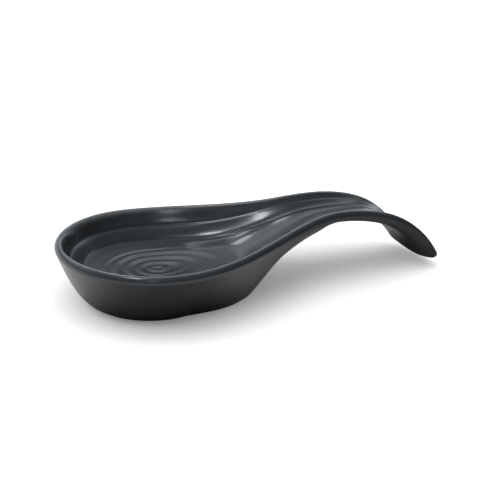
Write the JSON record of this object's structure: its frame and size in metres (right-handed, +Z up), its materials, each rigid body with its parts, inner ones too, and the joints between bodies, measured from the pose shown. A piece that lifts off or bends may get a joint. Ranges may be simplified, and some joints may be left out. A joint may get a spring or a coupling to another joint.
{
  "type": "spoon rest",
  "caption": "Glazed stoneware spoon rest: a broad, stepped bowl with throwing rings on its floor runs out into an arched, channelled handle that curls down to the table.",
  "frame": {"origin": "on the table, under the middle of the whole piece", "axes": "+X from the bowl to the handle's tip, +Y across, +Z up"},
  "size_m": [0.213, 0.113, 0.0403],
  "materials": {
    "bare_clay": "matt dark stoneware, fired bare",
    "glaze": "satin charcoal glaze"
  },
  "bodies": {
    "root": {"clay_body": "bare_clay", "glaze_coat": "glaze", "underside_glaze": "glaze"}
  },
  "joints": []
}
